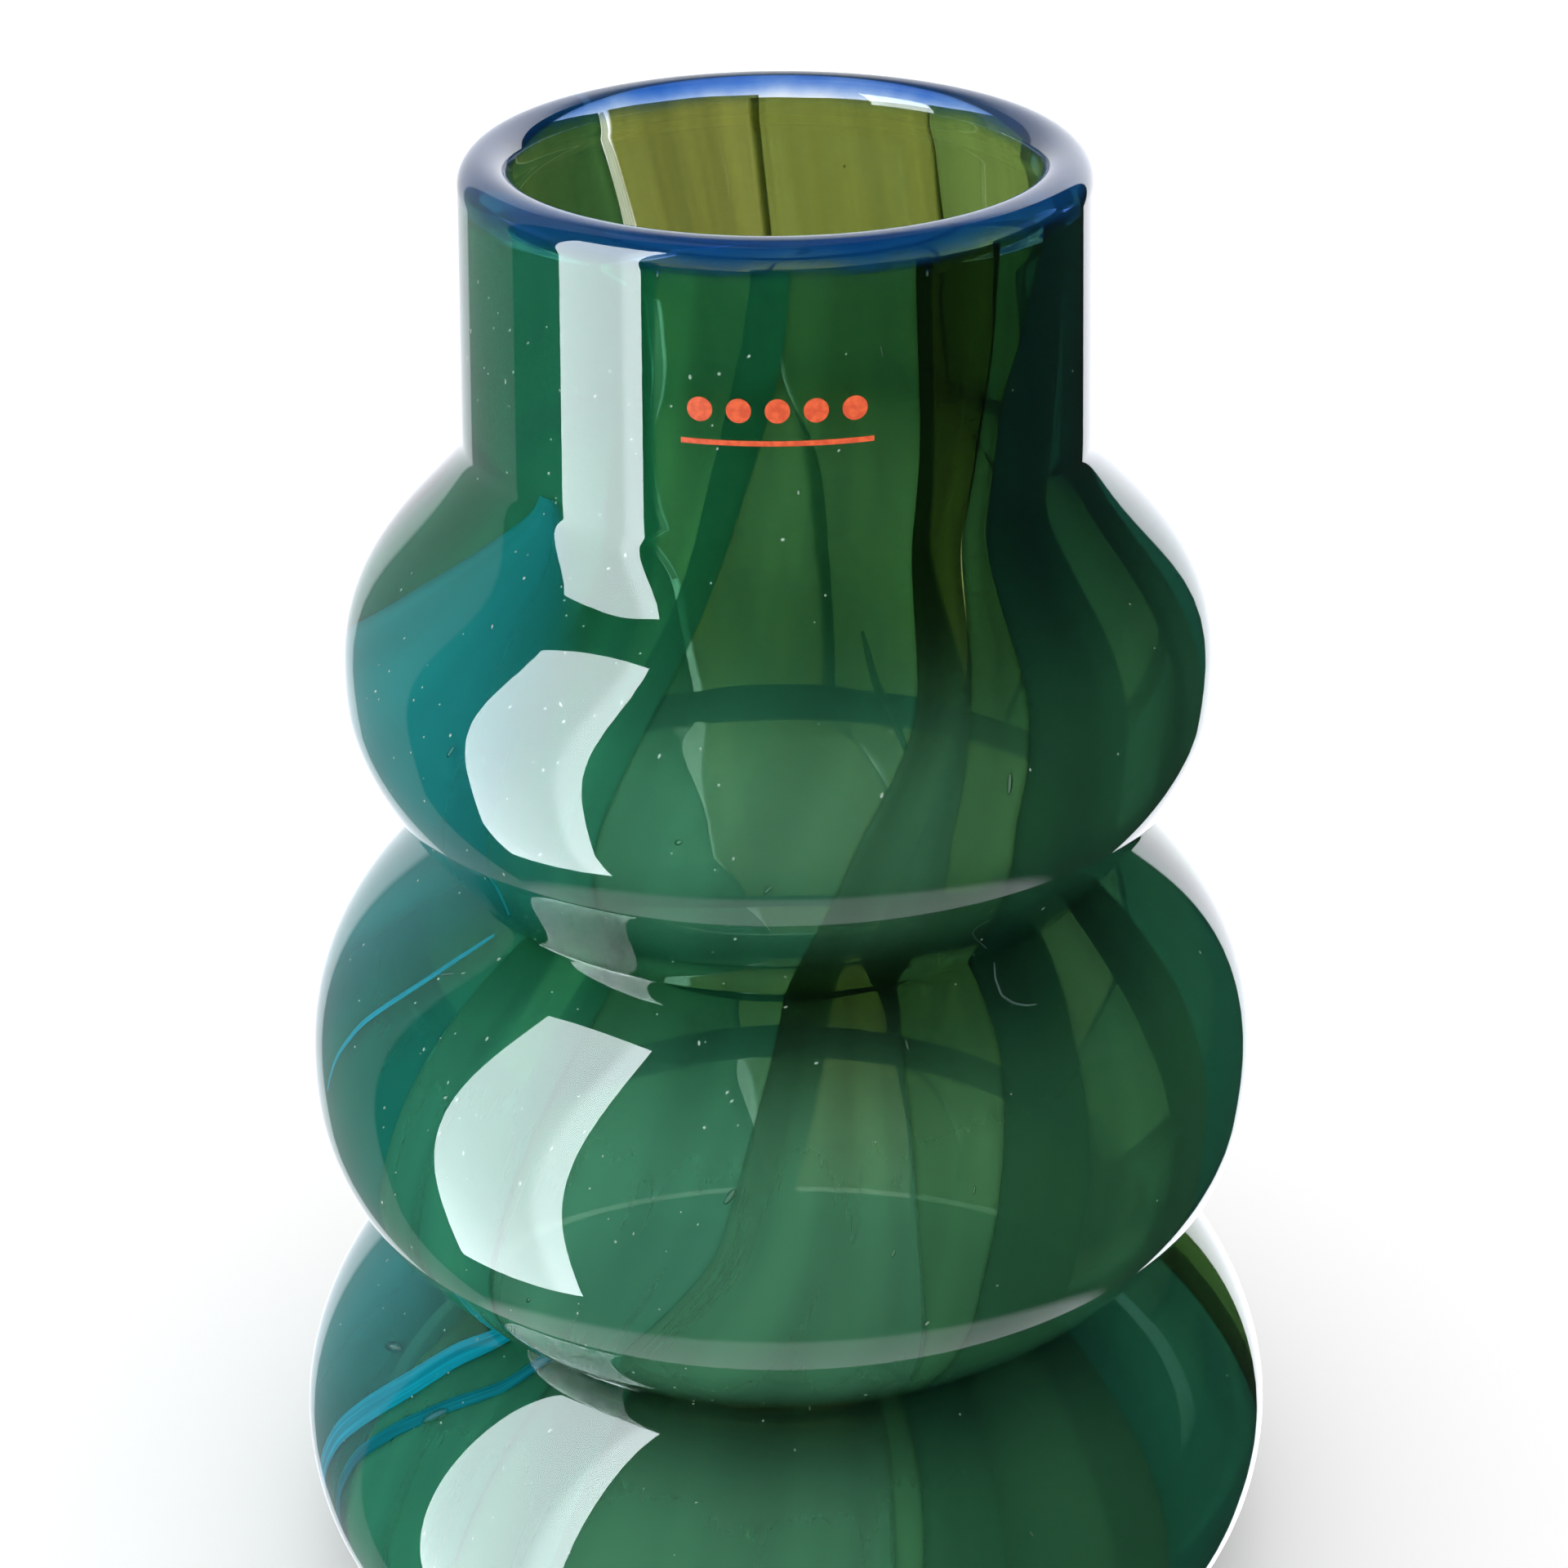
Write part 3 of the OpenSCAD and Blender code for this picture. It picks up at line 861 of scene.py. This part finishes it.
# Air caught in the casing: a cloud of tiny seeds and a few drawn-out bubbles.
# each long bubble: height, angle, length, width, how far it leans from upright in degrees
airBubbles = {
    "seeds": 420,
    "seedSize": (0.15, 0.36),
    "seedShare": (0.06, 0.97),
    "seedDepth": (0.08, 0.34),
    "seedStretch": (1.0, 2.2),
    "seedLean": (25, 25),
    "seedSide": (228, 26),  # more seeds on the left, where the turquoise is
    "longDepth": 0.22,
    "cordScale": 90,
    "cordColor": (0.94, 0.97, 0.96),
    "long": [
        (343, 249.5, 1.5, 1.0, 10), (342, 296.5, 1.6, 0.9, 0), (328, 288, 2.6, 0.5, -12),
        (246, 298.8, 4.4, 1.3, 12), (163, 263.9, 4.0, 1.5, 35), (239, 257.8, 1.6, 1.2, 60),
        (229, 268.4, 2.6, 0.9, 40), (294, 238.9, 4.6, 0.9, 5), (77, 203.5, 7.0, 2.6, 62),
        (75, 218.0, 8.2, 2.6, 40), (184, 214.2, 5.0, 0.9, 58), (246, 225, 3.4, 1.1, 30),
        (222, 226, 1.6, 0.7, 30), (262, 275, 1.0, 0.6, 0), (186, 287.5, 3.2, 0.7, 0),
        (160, 292, 1.8, 0.6, 20), (150, 282, 2.0, 0.8, 30), (60, 262, 2.4, 0.9, 30),
        (66, 300, 2.0, 0.7, -20), (130, 240, 2.0, 0.8, 35), (250, 60, 3.0, 1.0, 20),
        (150, 90, 3.4, 1.1, -15), (120, 20, 3.0, 1.0, 20), (55, 140, 3.6, 1.2, 30),
    ],
}


def airGlass(name):
    nodes, links, output = newMaterial(name)
    glass = nodes.new("ShaderNodeBsdfGlass")
    cords = cordedTint(nodes, links, airBubbles["cordScale"], airBubbles["cordColor"])
    links.new(cords, glass.inputs["Color"])
    glass.inputs["Roughness"].default_value = 0.0
    glass.inputs["IOR"].default_value = 1 / bodyGlass["ior"]
    links.new(glass.outputs["BSDF"], output.inputs["Surface"])
    return bpy.data.materials[name]


def seedGlint(name):
    # A seed is too small to resolve: its pale colour is a painted glint, standing in for the light that
    # the air mirrors.
    nodes, links, output = newMaterial(name)
    glint = nodes.new("ShaderNodeBsdfPrincipled")
    glint.inputs["Base Color"].default_value = (0.9, 0.97, 0.94, 1)
    glint.inputs["Roughness"].default_value = 0.25
    clear = nodes.new("ShaderNodeBsdfTransparent")
    share = rangeOf(nodes, links, noiseOf(nodes, links, 900), 0.3, 0.7, 0.25, 0.9)
    seed = blendOf(nodes, links, share, clear.outputs["BSDF"], glint.outputs["BSDF"])
    links.new(seed, output.inputs["Surface"])
    return bpy.data.materials[name]


def patternBall(detail):
    startClean()
    bpy.ops.mesh.primitive_ico_sphere_add(subdivisions=detail, radius=0.5)
    return bpy.context.object


def removePattern(pattern):
    startClean()
    pattern.select_set(True)
    bpy.ops.object.delete()


def bubbleAt(pattern, axesAt, length, width, lean):
    # A copy of the ball is drawn out along the wall, leaning from upright.
    place, upward, outward = axesAt
    startClean()
    pattern.select_set(True)
    bpy.context.view_layer.objects.active = pattern
    bpy.ops.object.duplicate()
    ball = bpy.context.object
    east = upward.cross(outward)
    turn = math.radians(lean)
    longWay = upward * math.cos(turn) + east * math.sin(turn)
    sideWay = longWay.cross(outward)
    axes = Matrix((sideWay, outward, longWay)).transposed().to_4x4()
    size = Matrix.Diagonal((width, width * 0.8, length, 1))
    ball.data.transform(Matrix.Translation(place) @ axes @ size)
    if ball.data.polygons[0].normal.dot(ball.data.polygons[0].center - place) < 0:
        ball.data.flip_normals()
    return ball


def wallAxes(share, angle, depth):
    place = Vector(wallPoint(share, angle, depth))
    above = Vector(wallPoint(share + 0.002, angle, depth))
    upward = (above - place).normalized()
    around = Vector((-math.sin(angle), math.cos(angle), 0))
    return place, upward, around.cross(upward).normalized()


def joinAs(name, balls):
    startClean()
    for ball in balls:
        ball.select_set(True)
    bpy.context.view_layer.objects.active = balls[0]
    bpy.ops.object.join()
    bpy.ops.object.shade_smooth()
    return nameNew(name)


def makeLongBubbles():
    pattern = patternBall(3)
    balls = []
    for height, degrees, length, width, lean in airBubbles["long"]:
        axesAt = wallAxes(shareAt(height), math.radians(degrees), airBubbles["longDepth"])
        balls.append(bubbleAt(pattern, axesAt, length * mm, width * mm, lean))
    removePattern(pattern)
    finishPiece(joinAs("longBubbles", balls), airGlass("bubbleAir"), "clear_glass")


def makeSeeds():
    a = airBubbles
    draw = random.Random(5)
    pattern = patternBall(1)
    seeds = []
    low, high = a["seedSize"]
    for k in range(a["seeds"]):
        degrees = draw.gauss(*a["seedSide"]) if k % 3 else draw.uniform(0, 360)
        share = draw.uniform(*a["seedShare"])
        width = (low + (high - low) * draw.random() ** 2) * 2
        axesAt = wallAxes(share, math.radians(degrees), draw.uniform(*a["seedDepth"]))
        length = width * draw.uniform(*a["seedStretch"])
        seeds.append(bubbleAt(pattern, axesAt, length * mm, width * mm, draw.gauss(*a["seedLean"])))
    removePattern(pattern)
    finishPiece(joinAs("airSeeds", seeds), seedGlint("seedGlint"), "clear_glass")


makeLongBubbles()
makeSeeds()
print("stage 7: bubbles")


def enamelMaterial():
    # Fired enamel, a little uneven in its orange.
    nodes, links, output = newMaterial("orangeEnamel")
    shader = nodes.new("ShaderNodeBsdfPrincipled")
    shader.inputs["Roughness"].default_value = 0.35
    uneven = rangeOf(nodes, links, noiseOf(nodes, links, 700, 3), 0.35, 0.65)
    color = mixColors(nodes, links, "MIX", uneven, (0.66, 0.075, 0.018), (0.82, 0.12, 0.03))
    links.new(color, shader.inputs["Base Color"])
    links.new(shader.outputs["BSDF"], output.inputs["Surface"])
    return bpy.data.materials["orangeEnamel"]


useMaterial(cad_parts["painted_dots"], enamelMaterial())

studio = {
    "softboxRadius": 0.60,
    "softboxFrom": 45.5,
    "softboxTo": 78,
    "softboxLow": -0.27,
    "softboxHigh": (0.945, 0.715),
    "softboxStrength": 12.0,
    "softboxGain": 1.3,  # along the near edge, which fades between these two shares of its width
    "softboxEdge": (0.30, 0.12),
    "softboxColor": (0.90, 0.99, 1.04, 1),
    "worldStrength": 1.2,
    "wallGlow": 0.45,
    "backGlow": (1.3, 2.5),
    "tableGlow": 1.1,
    "mirroredColor": (0.92, 0.94, 1.0, 1),
    # where each fades, in degrees: 0 is straight behind the vase, positive is to the right
    "backdropSweep": (-34, 36),
    "backdropRight": (37.2, 36.4),
    "backdropLeft": (-38, -34),
    "sideWallRight": (-33, -38),
    "sideWallLeft": (-74, -72),
}


def softboxCloth(edge, far):
    # Brighter along its near edge.
    t = studio
    nodes, links, output = newMaterial("softboxCloth")
    place = nodes.new("ShaderNodeTexCoord")
    split = nodes.new("ShaderNodeSeparateXYZ")
    links.new(place.outputs["Object"], split.inputs["Vector"])
    low, high = (edge + (far - edge) * part for part in t["softboxEdge"])
    near = rangeOf(nodes, links, split.outputs["Y"], low, high)
    full = t["softboxStrength"]
    glow = nodes.new("ShaderNodeEmission")
    glow.inputs["Color"].default_value = t["softboxColor"]
    strength = rangeOf(nodes, links, near, 0.0, 1.0, full, full * t["softboxGain"])
    links.new(strength, glow.inputs["Strength"])
    links.new(glow.outputs["Emission"], output.inputs["Surface"])
    return bpy.data.materials["softboxCloth"]


def makeSoftbox():
    s = studio
    corners = []
    for degrees, high in zip((s["softboxFrom"], s["softboxTo"]), s["softboxHigh"]):
        a = math.radians(degrees)
        x, y = -math.sin(a) * s["softboxRadius"], -math.cos(a) * s["softboxRadius"]
        corners.append((x, y, high))
    startClean()
    bpy.ops.mesh.primitive_plane_add(size=2)
    box = nameNew("softbox")
    for point in box.data.vertices:
        x, y, high = corners[0] if point.co.x < 0 else corners[1]
        point.co = (x, y, high if point.co.y > 0 else s["softboxLow"])
    useMaterial(box, softboxCloth(corners[0][1], corners[1][1]))
    box.visible_camera = False
    box.visible_diffuse = False
    box.visible_transmission = False
    box.visible_shadow = False


makeSoftbox()

floorLook = {"size": 12, "color": (0.97, 0.97, 0.97, 1), "roughness": 0.7}


def makeFloor():
    startClean()
    bpy.ops.mesh.primitive_plane_add(size=floorLook["size"])
    floor = nameNew("floor")
    nodes, links, output = newMaterial("paleFloor")
    shader = nodes.new("ShaderNodeBsdfPrincipled")
    shader.inputs["Base Color"].default_value = floorLook["color"]
    shader.inputs["Roughness"].default_value = floorLook["roughness"]
    links.new(shader.outputs["BSDF"], output.inputs["Surface"])
    useMaterial(floor, bpy.data.materials["paleFloor"])
    floor.visible_glossy = False


makeFloor()


def makeWorld():
    # White all round for what is seen through the glass. What the glass mirrors is a studio that is dark
    # in front, with a white backdrop behind, a grey wall on the left and a white table.
    world = bpy.data.worlds.new("studio")
    bpy.context.scene.world = world
    world.use_nodes = True
    nodes, links = world.node_tree.nodes, world.node_tree.links
    nodes.clear()
    output = nodes.new("ShaderNodeOutputWorld")
    around = nodes.new("ShaderNodeBackground")
    around.inputs["Color"].default_value = (1, 1, 1, 1)
    around.inputs["Strength"].default_value = studio["worldStrength"]
    mirrored = nodes.new("ShaderNodeBackground")
    mix = nodes.new("ShaderNodeMixShader")
    path = nodes.new("ShaderNodeLightPath")
    where = nodes.new("ShaderNodeTexCoord")
    split = nodes.new("ShaderNodeSeparateXYZ")
    links.new(where.outputs["Generated"], split.inputs["Vector"])
    angle = mathOf(nodes, links, "ARCTAN2", split.outputs["X"], split.outputs["Y"])

    def fadeRound(key, *ends):
        return rangeOf(nodes, links, angle, *(math.radians(a) for a in studio[key]), *ends)

    def combine(operation, *values):
        total = values[0]
        for value in values[1:]:
            total = mathOf(nodes, links, operation, total, value)
        return total

    edges = combine("MULTIPLY", fadeRound("backdropRight"), fadeRound("backdropLeft"))
    notHigh = rangeOf(nodes, links, split.outputs["Z"], 0.80, 0.55, 0.12, 1.0)
    backdrop = combine("MULTIPLY", fadeRound("backdropSweep", *studio["backGlow"]), edges, notHigh)
    wallEdges = combine("MULTIPLY", fadeRound("sideWallRight"), fadeRound("sideWallLeft"))
    sideWall = combine("MULTIPLY", wallEdges, studio["wallGlow"])
    table = rangeOf(nodes, links, split.outputs["Z"], -0.80, -0.85, 0.0, studio["tableGlow"])
    links.new(combine("MAXIMUM", backdrop, sideWall, table, 0.02), mirrored.inputs["Strength"])
    mirrored.inputs["Color"].default_value = studio["mirroredColor"]
    # a refracted ray also counts as glossy, so it is taken out again
    reflected = mathOf(
        nodes, links, "GREATER_THAN", path.outputs["Is Glossy Ray"], path.outputs["Is Transmission Ray"])
    links.new(reflected, mix.inputs["Fac"])
    links.new(around.outputs["Background"], mix.inputs[1])
    links.new(mirrored.outputs["Background"], mix.inputs[2])
    links.new(mix.outputs["Shader"], output.inputs["Surface"])


makeWorld()
scene = bpy.context.scene
scene.view_settings.view_transform = "Standard"
scene.cycles.transparent_max_bounces = 48
scene.cycles.transmission_bounces = 16
scene.cycles.diffuse_bounces = 3
scene.cycles.max_bounces = 24
print("stage 8: studio")
